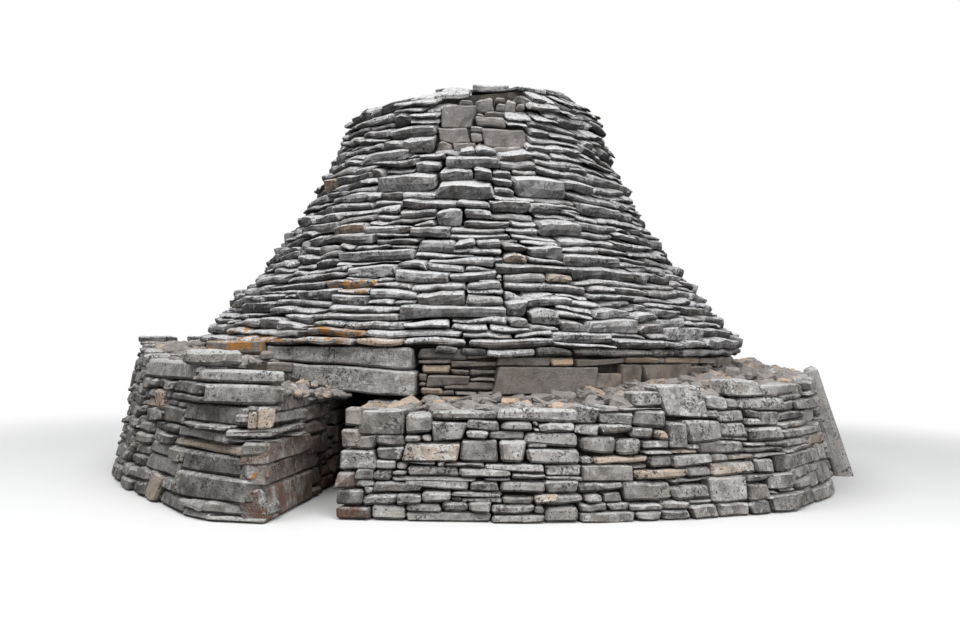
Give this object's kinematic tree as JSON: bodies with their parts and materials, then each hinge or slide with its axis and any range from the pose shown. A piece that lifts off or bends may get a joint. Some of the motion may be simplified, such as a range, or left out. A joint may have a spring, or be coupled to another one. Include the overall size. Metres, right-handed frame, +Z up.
{
  "type": "round dry stone field hut with a corbelled vault and a terraced ring wall",
  "caption": "Dry stone field hut: thick drum wall with a low lintelled doorway, corbelled vault, stepped cone of limestone flags and a battered ring wall with its terrace",
  "frame": {"origin": "the middle of the footprint at ground level; the drum's own axis is 0.15 m from it towards -X", "axes": "+Z is up; the passage and doorway run along Y and are entered from -Y; +X is to the right of someone who faces the doorway"},
  "size_m": [8.6949, 9.3414, 4.43],
  "materials": {
    "roof_flags": "weathered grey limestone flags with pale, dark and orange lichen",
    "ring_masonry": "rough-faced limestone blocks laid dry, with lichen and open dark joints",
    "drum_masonry": "rough-faced limestone blocks laid dry, sheltered and less weathered",
    "vault_masonry": "rough corbelled limestone, dry and unlit",
    "lintel_stone": "long limestone slabs with split faces and lichen",
    "rubble_fill": "loose limestone rubble, paler where freshly broken"
  },
  "bodies": {
    "root": {"ring_wall_front": "ring_masonry", "ring_wall_front_right": "ring_masonry", "ring_wall_right": "ring_masonry", "ring_wall_back_right": "ring_masonry", "ring_wall_back": "ring_masonry", "ring_wall_back_left": "ring_masonry", "ring_wall_left": "ring_masonry", "entrance_bastion": "ring_masonry", "passage_wall_left": "ring_masonry", "passage_wall_right": "ring_masonry", "terrace_fill_front": "rubble_fill", "terrace_fill_right": "rubble_fill", "terrace_fill_back": "rubble_fill", "terrace_fill_left": "rubble_fill", "terrace_fill_bastion": "rubble_fill", "drum_wall_right": "drum_masonry", "drum_wall_back": "drum_masonry", "drum_wall_left": "drum_masonry", "door_jamb_left": "drum_masonry", "door_jamb_right": "drum_masonry", "masonry_over_door": "drum_masonry", "door_lintel_lower": "lintel_stone", "door_lintel_upper": "lintel_stone", "door_lintel_middle": "lintel_stone", "door_lintel_inner": "lintel_stone", "eave_course": "drum_masonry", "roof_flags_1": "roof_flags", "roof_flags_2": "roof_flags", "roof_flags_3": "roof_flags", "roof_flags_4": "roof_flags", "roof_flags_5": "roof_flags", "roof_flags_6": "roof_flags", "roof_flags_7": "roof_flags", "bared_core_6": "rubble_fill", "bared_core_7": "rubble_fill", "vault_ring_1": "vault_masonry", "vault_ring_2": "vault_masonry", "vault_ring_3": "vault_masonry", "vault_ring_4": "vault_masonry", "vault_ring_5": "vault_masonry", "vault_ring_6": "vault_masonry", "closing_slab": "lintel_stone", "crown_collar": "rubble_fill", "crown_fill": "rubble_fill", "crown_slabs": "roof_flags", "leaning_slab": "lintel_stone", "terrace_flags": "roof_flags", "cap_boulder": "ring_masonry"}
  },
  "joints": []
}
